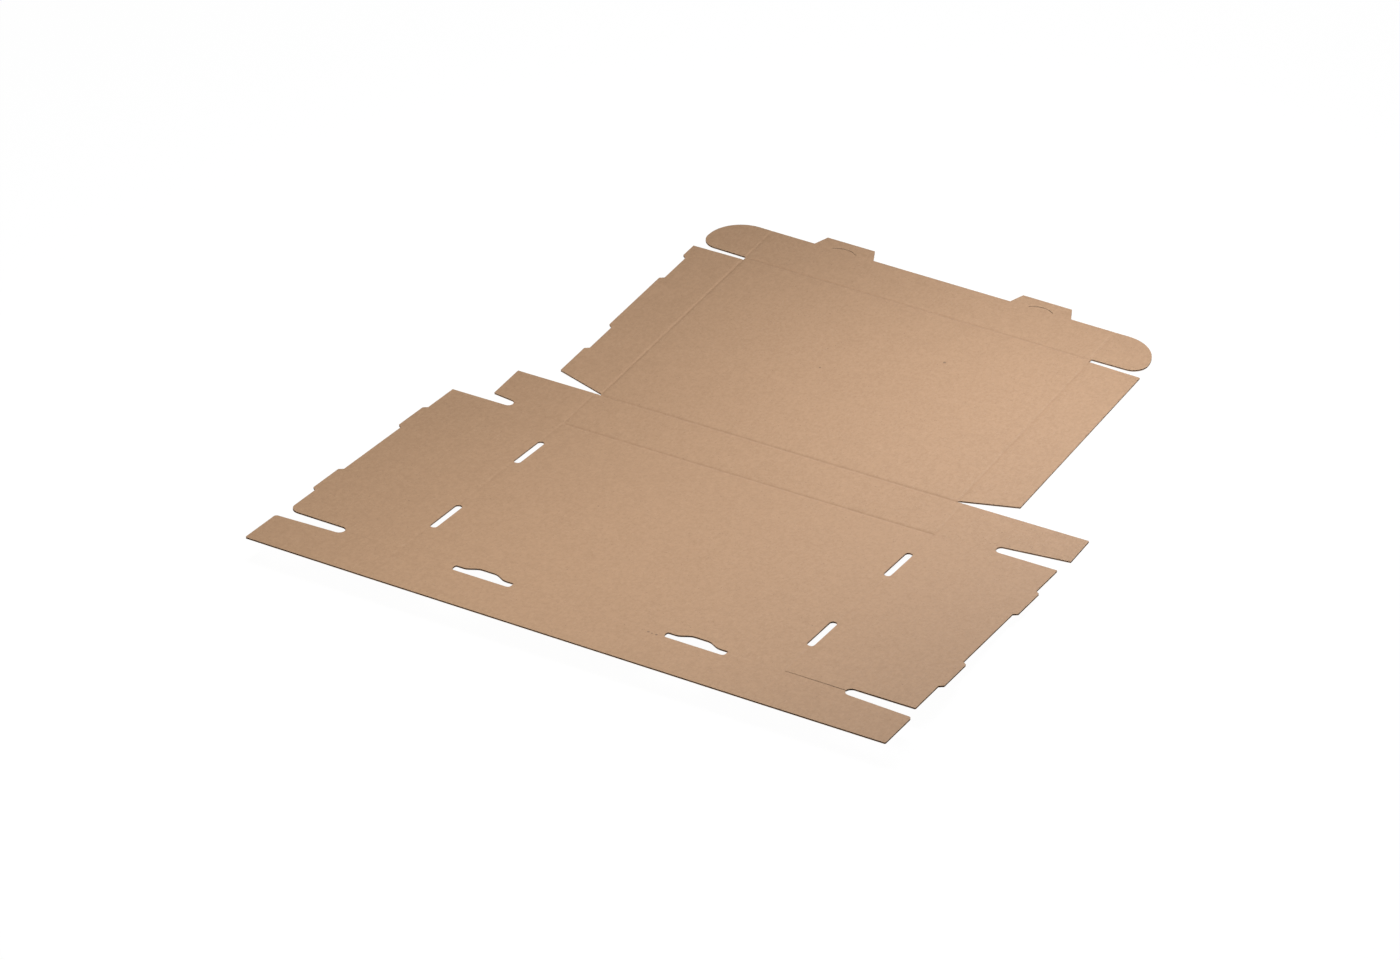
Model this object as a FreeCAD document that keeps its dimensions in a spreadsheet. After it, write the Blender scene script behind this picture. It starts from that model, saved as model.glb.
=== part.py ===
import FreeCAD, Part
import math
import os

import Sketcher

# A mailing carton laid out flat: one sheet of thin corrugated board, die cut and creased.
# x runs along the long folds, y from the front wall to the tuck flap; y is zero on the crease
# between base and back wall. The board has taken a slight bend at that crease: back wall, lid
# and tuck flap lie flat on the table, base and front wall rise towards the front edge.

document = FreeCAD.newDocument("box_blank")
sheet = document.addObject("Spreadsheet::Sheet", "Dims")
sheet_row = 0


class Size:
    """A length or angle that is known as an expression on the spreadsheet and as a number."""

    def __init__(self, text, number):
        self.text = text
        self.number = float(number)

    def _join(self, sign, other, number):
        other_text = other.text if isinstance(other, Size) else repr(other)
        return Size(f"({self.text} {sign} {other_text})", number)

    def __add__(self, other):
        return self._join("+", other, self.number + plain(other))

    def __sub__(self, other):
        return self._join("-", other, self.number - plain(other))

    def __mul__(self, other):
        return self._join("*", other, self.number * plain(other))

    def __truediv__(self, other):
        return self._join("/", other, self.number / plain(other))

    def __neg__(self):
        return Size(f"(0 - {self.text})", -self.number)


def plain(value):
    """The number behind a size or a bare number."""
    return value.number if isinstance(value, Size) else float(value)


def as_size(value):
    """A size, made from a bare number where needed."""
    return value if isinstance(value, Size) else Size(repr(value), value)


def cosine(angle):
    """Cosine of an angle in degrees."""
    return Size(f"cos({angle.text} * 1 deg)", math.cos(math.radians(angle.number)))


def sine(angle):
    """Sine of an angle in degrees."""
    return Size(f"sin({angle.text} * 1 deg)", math.sin(math.radians(angle.number)))


def tangent(angle):
    """Tangent of an angle in degrees."""
    return Size(f"tan({angle.text} * 1 deg)", math.tan(math.radians(angle.number)))


def dimension(alias, number, note):
    """Puts one independent size on the spreadsheet and returns it."""
    global sheet_row
    sheet_row += 1
    sheet.set(f"A{sheet_row}", alias)
    sheet.set(f"B{sheet_row}", str(number))
    sheet.set(f"C{sheet_row}", note)
    sheet.setAlias(f"B{sheet_row}", alias)
    return Size(f"Dims.{alias}", number)


# The board and its creases
board_thick = dimension("board_thick", 1.5, "E flute board")
crease_width = dimension("crease_width", 2.6, "width of a crease on the upper face")
crease_depth = dimension("crease_depth", 0.4, "depth of a crease on the upper face")
slit_width = dimension("slit_width", 0.6, "cut between an ear and its side wall")

# The panels, crease to crease
base_width = dimension("base_width", 355, "base between the side creases")
base_depth = dimension("base_depth", 261, "base between front and back creases")
front_wall = dimension("front_wall", 53, "front wall to the free edge")
back_wall = dimension("back_wall", 54, "back wall between its creases")
side_wall = dimension("side_wall", 56, "outer side wall")
ledge = dimension("ledge", 5, "top ledge between the two roll-over creases")
inner_wall = dimension("inner_wall", 51, "roll-over wall to its free edge")
lid_width = dimension("lid_width", 344, "lid between its flap creases")
lid_depth = dimension("lid_depth", 260, "lid between back wall and tuck flap")
lid_flap = dimension("lid_flap", 50, "width of a lid side flap")
tuck_flap = dimension("tuck_flap", 50.5, "tuck flap to its free edge")

# How far the base stands up from the table
base_angle = dimension("base_angle", 4.75, "base from the table, degrees")

# Locking slots in the base and the tabs that go into them
slot_length = dimension("slot_length", 44.5, "side slot, over its round ends")
slot_width = dimension("slot_width", 6.4, "side slot")
slot_inset = dimension("slot_inset", 2.2, "slot centre inside the side crease")
slot_first = dimension("slot_first", 67, "first slot centre from the front crease")
slot_pitch = dimension("slot_pitch", 133, "between the two slots of a side")
tab_root = dimension("tab_root", 44, "side tab at its root")
tab_tip = dimension("tab_tip", 38, "side tab at its tip")
tab_reach = dimension("tab_reach", 3.8, "side tab margin the edge")

# Slots in the front crease and the latches of the tuck flap
latch_offset = dimension("latch_offset", 98.5, "latch and its slot from the middle")
latch_root = dimension("latch_root", 60, "latch at its root")
latch_tip = dimension("latch_tip", 48, "latch at its tip")
latch_reach = dimension("latch_reach", 14.5, "latch margin the tuck flap")
latch_slot = dimension("latch_slot", 55, "length of a latch slot")
latch_front = dimension("latch_front", 5.8, "latch slot in front of the crease")
latch_back = dimension("latch_back", 1.9, "latch slot behind the crease")
latch_end = dimension("latch_end", 3, "round of a latch slot's ends")
hump_rise = dimension("hump_rise", 5.6, "hump in the slot's back edge")
hump_root = dimension("hump_root", 40, "hump at its root")
hump_tip = dimension("hump_tip", 12, "hump at its top")
relief_span = dimension("relief_span", 24, "curved slit at a latch's root")
relief_rise = dimension("relief_rise", 4.2, "rise of the curved slit")

# Tapered gaps between ears and side walls, and the ears
gap_start = dimension("gap_start", 54, "inner end of a gap from the side crease")
gap_half = dimension("gap_half", 5.4, "front gap each side of the crease line")
gap_flare = dimension("gap_flare", 3.3, "how much a front gap widens")
back_edge = dimension("back_edge", 1.5, "side walls past the back crease")
back_gap = dimension("back_gap", 11, "back ear past the back crease, at the gap's inner end")
back_flare = dimension("back_flare", 8.3, "how much the back gap widens")
back_ear_left = dimension("back_ear_left", 77.5, "left back ear from the side crease")
ear_round = dimension("ear_round", 2.8, "upper corner of a front ear")
panel_round = dimension("panel_round", 8.5, "front corner of the left inner wall")
small_round = dimension("small_round", 1.2, "other outer corners")

# Lid flaps and tuck ears
flap_start = dimension("flap_start", 1.5, "lid flap's lower edge at its crease")
flap_taper = dimension("flap_taper", 15, "how far the lower edge slants away")
flap_end = dimension("flap_end", 4.5, "lid flap short of the tuck crease")
flap_slant = dimension("flap_slant", 2.5, "slant of the lid flap's upper edge")
nest_depth = dimension("nest_depth", 4, "recess in the left lid flap")
nest_first = dimension("nest_first", 79, "first recess from the lid crease")
ear_reach = dimension("ear_reach", 47.5, "tuck ear from the lid flap crease")
ear_clear = dimension("ear_clear", 0.6, "tuck ear's lower edge past the crease")
ear_crown = dimension("ear_crown", 35, "large round of a tuck ear")
ear_heel = dimension("ear_heel", 14, "small round of a tuck ear")
ear_drop = dimension("ear_drop", 0.5, "back ears' upper edge before the lid crease")
lap = dimension("lap", 1, "how far one cut runs into the next")
margin = dimension("margin", 6, "how far a cut runs past the sheet's edge")
cut_reach = dimension("cut_reach", 40, "length of the cutting tools")

# Lines worked out from the sizes above
half_base = base_width / 2
half_lid = lid_width / 2
ledge_in = half_base + side_wall
ledge_out = ledge_in + ledge
side_edge = ledge_out + inner_wall
side_limit = side_edge + tab_reach
tuck_length = tuck_flap + latch_reach
far_y = back_wall + lid_depth + tuck_length
base_run = base_depth + front_wall
near_y = -(base_run * cosine(base_angle))
near_z = base_run * sine(base_angle)
crease_radius = (crease_width * crease_width / 4 + crease_depth * crease_depth) / (crease_depth * 2)
crease_axis = board_thick + crease_radius - crease_depth

body = document.addObject("PartDesign::Body", "box_blank")
body.Label = "box_blank"
planes = {feature.Role: feature for feature in body.Origin.OriginFeatures}


def bind(sketch, constraint, value):
    """Adds a constraint and binds it to the size's expression."""
    index = sketch.addConstraint(constraint)
    sketch.setExpression(f"Constraints[{index}]", as_size(value).text)


def new_sketch(name, role):
    """A sketch on one of the body's own origin planes."""
    sketch = body.newObject("Sketcher::SketchObject", name)
    sketch.AttachmentSupport = (planes[role], [""])
    sketch.MapMode = "FlatFace"
    return sketch


def shift(sketch, second, third, angle):
    """Moves the sketch in its plane's own axes and tips its far side down by the angle."""
    offset = FreeCAD.Placement(
        FreeCAD.Vector(0, plain(second), plain(third)),
        FreeCAD.Rotation(FreeCAD.Vector(-1, 0, 0), plain(angle)),
    )
    sketch.AttachmentOffset = offset
    sketch.setExpression("AttachmentOffset.Base.y", as_size(second).text)
    sketch.setExpression("AttachmentOffset.Base.z", as_size(third).text)
    if plain(angle) != 0:
        sketch.setExpression("AttachmentOffset.Rotation.Angle", as_size(angle).text)


def base_sketch(name):
    """A sketch on the underside of the base, with y zero on the front crease."""
    sketch = new_sketch(name, "XY_Plane")
    shift(sketch, -(base_depth * cosine(base_angle)), base_depth * sine(base_angle), base_angle)
    return sketch


def back_sketch(name):
    """A sketch on the table, with y zero on the crease between base and back wall."""
    return new_sketch(name, "XY_Plane")


def lid_sketch(name):
    """A sketch on the table, with y zero on the crease between back wall and lid."""
    sketch = new_sketch(name, "XY_Plane")
    shift(sketch, back_wall, as_size(0), as_size(0))
    return sketch


def arc_between(start, end, radius):
    """Arc from start to end; it bends left for a positive radius and right for a negative one."""
    size = abs(radius)
    middle = (start + end) * 0.5
    chord = end - start
    height = math.sqrt(max(size * size - chord.Length * chord.Length / 4, 0.0))
    left = FreeCAD.Vector(-chord.y, chord.x, 0).normalize()
    centre = middle + left * (height if radius > 0 else -height)
    first = math.atan2(start.y - centre.y, start.x - centre.x)
    last = math.atan2(end.y - centre.y, end.x - centre.x)
    if radius < 0:
        first, last = last, first
    circle = Part.Circle(centre, FreeCAD.Vector(0, 0, 1), size)
    return Part.ArcOfCircle(circle, first, last)


def wire(sketch, corners):
    """Closed outline through corners (x, y) or (x, y, radius of the arc to the next corner)."""
    points = [FreeCAD.Vector(plain(corner[0]), plain(corner[1]), 0) for corner in corners]
    ends = []
    for index, corner in enumerate(corners):
        start = points[index]
        end = points[(index + 1) % len(points)]
        if len(corner) == 3:
            geometry = sketch.addGeometry(arc_between(start, end, plain(corner[2])))
            forward = plain(corner[2]) > 0
            if abs((end - start).Length - abs(plain(corner[2])) * 2) < 1e-6:
                name, value = ("DistanceX", corner[0]) if abs(end.x - start.x) < 1e-6 else (
                    "DistanceY", corner[1])
                bind(sketch, Sketcher.Constraint(name, geometry, 3, plain(value)), value)
            else:
                radius = corner[2] if forward else -corner[2]
                bind(sketch, Sketcher.Constraint("Radius", geometry, plain(radius)), radius)
            ends.append((geometry, 1, 2) if forward else (geometry, 2, 1))
        else:
            ends.append((sketch.addGeometry(Part.LineSegment(start, end)), 1, 2))
    for index, corner in enumerate(corners):
        geometry, first, _ = ends[index]
        before, _, last = ends[index - 1]
        sketch.addConstraint(Sketcher.Constraint("Coincident", before, last, geometry, first))
        bind(sketch, Sketcher.Constraint("DistanceX", geometry, first, plain(corner[0])), corner[0])
        bind(sketch, Sketcher.Constraint("DistanceY", geometry, first, plain(corner[1])), corner[1])


def mirrored(corners):
    """The same outline on the other side of the sheet's middle."""
    turned = []
    for index in range(len(corners)):
        corner = corners[-1 - index]
        following = corners[-2 - index] if index + 1 < len(corners) else corners[-1]
        x = -as_size(corner[0])
        if len(following) == 3:
            turned.append((x, corner[1], following[2]))
        else:
            turned.append((x, corner[1]))
    return turned


def cut(name, sketch, length=cut_reach):
    """Cuts the sketch's shape out of the board, equally to both sides of its plane."""
    pocket = body.newObject("PartDesign::Pocket", name)
    pocket.Profile = sketch
    pocket.SideType = "Symmetric"
    pocket.Length = plain(length)
    pocket.setExpression("Length", as_size(length).text)
    sketch.Visibility = False
    return pocket


def cut_both(name, corners, plane):
    """Cuts an outline and its mirror image."""
    sketch = plane(name + "_shape")
    wire(sketch, corners)
    wire(sketch, mirrored(corners))
    return cut(name, sketch)


# The bent board as a long section through all panels
section = new_sketch("board_section", "YZ_Plane")
wire(section, [
    (near_y, near_z),
    (as_size(0), as_size(0)),
    (far_y, as_size(0)),
    (far_y, board_thick),
    (board_thick * tangent(base_angle / 2), board_thick),
    (near_y + board_thick * sine(base_angle), near_z + board_thick * cosine(base_angle)),
])
board = body.newObject("PartDesign::Pad", "board")
board.Profile = section
board.SideType = "Symmetric"
board.Length = plain(side_limit * 2)
board.setExpression("Length", (side_limit * 2).text)
section.Visibility = False


def crease_circle(sketch, across, up):
    """Circle whose lowest part is the groove of a crease."""
    circle = Part.Circle(
        FreeCAD.Vector(plain(across), plain(up), 0), FreeCAD.Vector(0, 0, 1), crease_radius.number
    )
    geometry = sketch.addGeometry(circle)
    bind(sketch, Sketcher.Constraint("Radius", geometry, crease_radius.number), crease_radius)
    bind(sketch, Sketcher.Constraint("DistanceX", geometry, 3, plain(across)), across)
    bind(sketch, Sketcher.Constraint("DistanceY", geometry, 3, plain(up)), up)


# Creases along x: front wall, back wall, lid and tuck flap
long_creases = new_sketch("long_crease_shape", "YZ_Plane")
for line_y, line_z, lean in (
    (-(base_depth * cosine(base_angle)), base_depth * sine(base_angle), base_angle),
    (as_size(0), as_size(0), base_angle / 2),
    (back_wall, as_size(0), as_size(0)),
    (back_wall + lid_depth, as_size(0), as_size(0)),
):
    crease_circle(
        long_creases,
        line_y + crease_axis * sine(lean),
        line_z + crease_axis * cosine(lean),
    )
cut("long_creases", long_creases, side_limit * 2 + margin)


def cross_crease(name, lines, start_y, length, angle):
    """Creases along y on one panel, at plus and minus each x in lines.

    start_y is the panel's front end, measured over the board from the back crease.
    """
    sketch = new_sketch(name + "_shape", "XZ_Plane")
    middle = start_y + length / 2
    shift(sketch, -(middle * sine(angle)), -(middle * cosine(angle)), angle)
    for x in lines:
        for side in (x, -x):
            crease_circle(sketch, side, crease_axis)
    cut(name, sketch, length)


# Creases along y, panel by panel
flat = as_size(0)
cross_crease("front_ear_creases", [half_base], -base_run, front_wall, base_angle)
cross_crease("side_creases", [half_base, ledge_in, ledge_out], -base_depth, base_depth, base_angle)
cross_crease("back_ear_creases", [half_base], as_size(0), back_wall, flat)
cross_crease("flap_creases", [half_lid], back_wall, lid_depth + tuck_flap, flat)

# Free edges of the inner side walls, cut back between the locking tabs
outside = side_limit + margin
gap_inner = half_base + gap_start
first_tab = slot_first
second_tab = slot_first + slot_pitch
edge_sketch = base_sketch("side_edge_shape")
edge_pieces = [
    (gap_half - lap, gap_half - lap, first_tab - tab_tip / 2, first_tab - tab_root / 2),
    (first_tab + tab_root / 2, first_tab + tab_tip / 2,
     second_tab - tab_tip / 2, second_tab - tab_root / 2),
    (second_tab + tab_root / 2, second_tab + tab_tip / 2,
     base_depth + back_edge + lap, base_depth + back_edge + lap),
]
for low_root, low_tip, high_tip, high_root in edge_pieces:
    piece = [
        (side_edge, low_root),
        (side_limit, low_tip),
        (outside, low_tip),
        (outside, high_tip),
        (side_limit, high_tip),
        (side_edge, high_root),
    ]
    if plain(low_root) == plain(low_tip):
        piece = [(side_edge, low_root)] + piece[2:]
    if plain(high_root) == plain(high_tip):
        piece = piece[:-3] + [(outside, high_root), (side_edge, high_root)]
    wire(edge_sketch, piece)
    wire(edge_sketch, mirrored(piece))
cut("side_edges", edge_sketch)

# Tapered gaps beside the front ears, with round inner ends
front_gap_low = -gap_half
cut_both("front_gaps", [
    (gap_inner + gap_half, front_gap_low),
    (outside, front_gap_low - gap_flare),
    (outside, gap_half),
    (gap_inner + gap_half, gap_half, gap_half),
], base_sketch)

# Tapered gaps beside the back ears
half_back_gap = (back_gap - back_edge) / 2
cut_both("back_gaps", [
    (gap_inner + half_back_gap, back_edge),
    (outside, back_edge),
    (outside, back_gap + back_flare),
    (gap_inner + half_back_gap, back_gap, half_back_gap),
], back_sketch)

# Slits from the gaps in to the corners of the base
cut_both("front_slits", [
    (half_base, -slit_width / 2),
    (gap_inner + lap, -slit_width / 2),
    (gap_inner + lap, slit_width / 2),
    (half_base, slit_width / 2),
], base_sketch)
cut_both("back_slits", [
    (half_base, back_edge),
    (gap_inner + lap * 2, back_edge),
    (gap_inner + lap * 2, back_edge + slit_width),
    (half_base, back_edge + slit_width),
], back_sketch)

# End of the left back ear, which is shorter than the others
ear_end = back_sketch("left_ear_end_shape")
left_tip = half_base + back_ear_left
wire(ear_end, mirrored([
    (left_tip, back_gap),
    (outside, back_gap),
    (outside, back_wall),
    (left_tip, back_wall),
]))
cut("left_ear_end", ear_end)

# Side slots of the base, one pair for each inner wall's tabs
slot_x = half_base - slot_inset
slot_half = slot_width / 2
slot_sketch = base_sketch("side_slot_shape")
for centre in (first_tab, second_tab):
    low = centre - slot_length / 2 + slot_half
    high = centre + slot_length / 2 - slot_half
    outline = [
        (slot_x + slot_half, low),
        (slot_x + slot_half, high, slot_half),
        (slot_x - slot_half, high),
        (slot_x - slot_half, low, slot_half),
    ]
    wire(slot_sketch, outline)
    wire(slot_sketch, mirrored(outline))
cut("side_slots", slot_sketch)

# Latch slots on the front crease: straight in front, humped behind
latch_low = -latch_front
latch_left = latch_offset - latch_slot / 2
latch_right = latch_offset + latch_slot / 2
hump_slope = (hump_root - hump_tip) / 2
hump_bend = (hump_slope * hump_slope + hump_rise * hump_rise) / (hump_rise * 4)
hump_low = latch_back
hump_high = latch_back + hump_rise
hump_middle = latch_back + hump_rise / 2
cut_both("latch_slots", [
    (latch_left + latch_end, latch_low),
    (latch_right - latch_end, latch_low, latch_end),
    (latch_right, latch_low + latch_end),
    (latch_right, hump_low - latch_end / 2, latch_end / 2),
    (latch_right - latch_end / 2, hump_low),
    (latch_offset + hump_root / 2, hump_low, -hump_bend),
    (latch_offset + hump_root / 2 - hump_slope / 2, hump_middle, hump_bend),
    (latch_offset + hump_tip / 2, hump_high),
    (latch_offset - hump_tip / 2, hump_high, hump_bend),
    (latch_offset - hump_root / 2 + hump_slope / 2, hump_middle, -hump_bend),
    (latch_offset - hump_root / 2, hump_low),
    (latch_left + latch_end / 2, hump_low, latch_end / 2),
    (latch_left, hump_low - latch_end / 2),
    (latch_left, latch_low + latch_end, latch_end),
], base_sketch)


def corner_cut(sketch, x, y, towards_x, towards_y, radius):
    """Rounds an outer corner at (x, y); the sheet lies towards the given signs."""
    inner_x = x + radius * towards_x
    inner_y = y + radius * towards_y
    if towards_x * towards_y > 0:
        wire(sketch, [(x, y), (inner_x, y, -radius), (x, inner_y)])
    else:
        wire(sketch, [(x, y), (inner_x, y, radius), (x, inner_y)])


# Rounded outer corners of the ears and the inner walls
corners = base_sketch("corner_shape")
gap_slope = gap_flare / (outside - gap_inner - gap_half)
ear_top = front_gap_low - (side_limit - gap_inner - gap_half) * gap_slope
for side in (1, -1):
    corner_cut(corners, side_limit * side, ear_top, -side, -1, ear_round)
    corner_cut(corners, side_limit * side, -front_wall, -side, 1, small_round)
corner_cut(corners, side_edge, gap_half, -1, 1, small_round)
corner_cut(corners, -side_edge, gap_half, 1, 1, panel_round)
cut("corner_rounds", corners)
back_corners = back_sketch("back_corner_shape")
corner_cut(back_corners, side_edge, back_edge, -1, -1, small_round)
corner_cut(back_corners, -side_edge, back_edge, 1, -1, small_round)
cut("back_corner_rounds", back_corners)

# Everything beside the lid and the tuck flap, from the back ears' upper edge outwards
flap_edge = half_lid + lid_flap
ear_edge = half_lid + ear_reach
tuck_top = lid_depth + tuck_flap
ear_floor = lid_depth + ear_clear
latch_top = tuck_top + latch_reach
over_top = latch_top + margin
cut_both("beside_lid", [
    (half_lid, -ear_drop),
    (outside, -ear_drop),
    (outside, over_top),
    (ear_edge - ear_crown, over_top),
    (ear_edge - ear_crown, tuck_top, -ear_crown),
    (ear_edge, tuck_top - ear_crown),
    (ear_edge, ear_floor + ear_heel, -ear_heel),
    (ear_edge - ear_heel, ear_floor),
    (half_lid, ear_floor),
    (half_lid, lid_depth - flap_end),
    (flap_edge, lid_depth - flap_end - flap_slant),
    (flap_edge, flap_start + flap_taper),
    (half_lid, flap_start),
], lid_sketch)

# Free edge of the tuck flap, cut back between the latches
root_in = latch_offset - latch_root / 2
root_out = latch_offset + latch_root / 2
tip_in = latch_offset - latch_tip / 2
tip_out = latch_offset + latch_tip / 2
top_sketch = lid_sketch("tuck_edge_shape")
end_piece = [
    (root_out, tuck_top),
    (ear_edge, tuck_top),
    (ear_edge, over_top),
    (tip_out, over_top),
    (tip_out, latch_top),
]
wire(top_sketch, end_piece)
wire(top_sketch, mirrored(end_piece))
wire(top_sketch, [
    (root_in, tuck_top),
    (tip_in, latch_top),
    (tip_in, over_top),
    (-tip_in, over_top),
    (-tip_in, latch_top),
    (-root_in, tuck_top),
])
cut("tuck_edge", top_sketch)

# Curved slits at the roots of the latches
relief_half = relief_span / 2
relief_radius = (relief_half * relief_half + relief_rise * relief_rise) / (relief_rise * 2)
slit_half = slit_width / 2
cut_both("latch_reliefs", [
    (latch_offset + relief_half, tuck_top, relief_radius),
    (latch_offset - relief_half, tuck_top),
    (latch_offset - relief_half, tuck_top + slit_width, -relief_radius),
    (latch_offset + relief_half, tuck_top + slit_width),
], lid_sketch)

# Recesses in the left lid flap, where the neighbouring sheet's tabs were cut
nest_sketch = lid_sketch("nest_shape")
for centre in (nest_first, nest_first + slot_pitch):
    wire(nest_sketch, mirrored([
        (flap_edge - nest_depth, centre - tab_tip / 2),
        (flap_edge, centre - tab_root / 2),
        (flap_edge + margin, centre - tab_root / 2),
        (flap_edge + margin, centre + tab_root / 2),
        (flap_edge, centre + tab_root / 2),
        (flap_edge - nest_depth, centre + tab_tip / 2),
    ]))
cut("nest_recesses", nest_sketch)

# The sheet's middle, on the table, is the origin
body.setExpression("Placement.Base.y", (-(far_y + near_y) / 2).text)
document.recompute()

for item in document.Objects:
    if "Invalid" in item.State or "Error" in item.State:
        raise RuntimeError(f"{item.Name} is in error: {item.State}")
previous = None
for feature in body.Group:
    if feature.isDerivedFrom("PartDesign::Feature"):
        shape = feature.Shape
        if shape.isNull() or not shape.isValid():
            raise RuntimeError(f"{feature.Name} has no valid shape")
        if previous is not None and shape.Volume >= previous - 0.5:
            raise RuntimeError(f"{feature.Name} cut nothing")
        previous = shape.Volume
if len(body.Shape.Solids) != 1:
    raise RuntimeError("the sheet is not one solid")

os.makedirs("parts", exist_ok=True)
body.Shape.exportStep(os.path.join("parts", f"{body.Label}.step"))
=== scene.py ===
"""A mailing carton laid out flat: two kraft liners with a waved sheet between them.

The board is worked out in its own flat layout (x along the long folds, y from the crease
between front wall and base towards the tuck flap, millimetres) and is then bent at the back
crease, so that the lid lies on the table and the base rises to the front.
"""

import logging
import math
from dataclasses import dataclass, field
from enum import Enum

import bpy
import numpy as np
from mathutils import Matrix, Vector
from mathutils.geometry import delaunay_2d_cdt


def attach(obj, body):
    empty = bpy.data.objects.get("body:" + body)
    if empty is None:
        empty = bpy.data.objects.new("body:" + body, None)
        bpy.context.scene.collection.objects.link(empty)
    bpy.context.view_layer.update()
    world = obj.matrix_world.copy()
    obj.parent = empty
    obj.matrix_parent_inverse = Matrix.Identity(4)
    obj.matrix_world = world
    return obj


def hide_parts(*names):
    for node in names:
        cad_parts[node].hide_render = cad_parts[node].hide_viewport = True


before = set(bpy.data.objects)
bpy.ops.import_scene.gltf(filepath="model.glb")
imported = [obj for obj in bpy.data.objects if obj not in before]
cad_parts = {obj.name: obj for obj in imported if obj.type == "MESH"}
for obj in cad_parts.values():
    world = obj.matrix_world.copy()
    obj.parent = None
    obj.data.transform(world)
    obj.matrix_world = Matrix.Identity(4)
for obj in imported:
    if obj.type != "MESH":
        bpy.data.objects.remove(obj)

LOG = logging.getLogger("carton")
MM = 0.001


class Side(Enum):
    """Left or right half of the sheet, seen from the front wall."""

    LEFT = -1.0
    RIGHT = 1.0


class Face(Enum):
    """Which way a layer of the board looks."""

    INSIDE = 1
    OUTSIDE = 2


@dataclass(frozen=True)
class Fold:
    """One crease line: where it runs and how it is pressed.

    Attributes:
        across: True for a crease along x, False for one along y.
        at: place of the line on the other axis, mm.
        start: where the line begins, mm.
        stop: where the line ends, mm.
        depth: depth of the groove, mm.
        half: half width of the groove, mm.
    """

    across: bool
    at: float
    start: float
    stop: float
    depth: float
    half: float


def arc(centre_x: float, centre_y: float, radius: float, first: float, last: float,
        count: int = 9) -> np.ndarray:
    """Points on a circle: centre plus radius times cosine and sine of evenly spaced angles.

    Args:
        centre_x: x of the centre, mm.
        centre_y: y of the centre, mm.
        radius: radius, mm.
        first: first angle, degrees.
        last: last angle, degrees.
        count: number of points.

    Returns:
        Array of shape (count, 2).
    """
    angle = np.radians(np.linspace(first, last, count))
    return np.column_stack([centre_x + radius * np.cos(angle), centre_y + radius * np.sin(angle)])


def points(*pairs: tuple[float, float]) -> np.ndarray:
    """The given corners as one array.

    Args:
        *pairs: x and y of each corner, mm.

    Returns:
        Array of shape (n, 2).
    """
    return np.array(pairs, float)


def bend_curve(start: tuple[float, float], end: tuple[float, float], count: int = 8) -> np.ndarray:
    """A soft step between two points: y follows a half cosine wave while x moves evenly.

    Args:
        start: first point, mm.
        end: last point, mm.
        count: number of points.

    Returns:
        Array of shape (count, 2).
    """
    part = np.linspace(0.0, 1.0, count)
    rise = (1.0 - np.cos(np.pi * part)) / 2.0
    return np.column_stack([
        start[0] + (end[0] - start[0]) * part,
        start[1] + (end[1] - start[1]) * rise,
    ])


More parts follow.
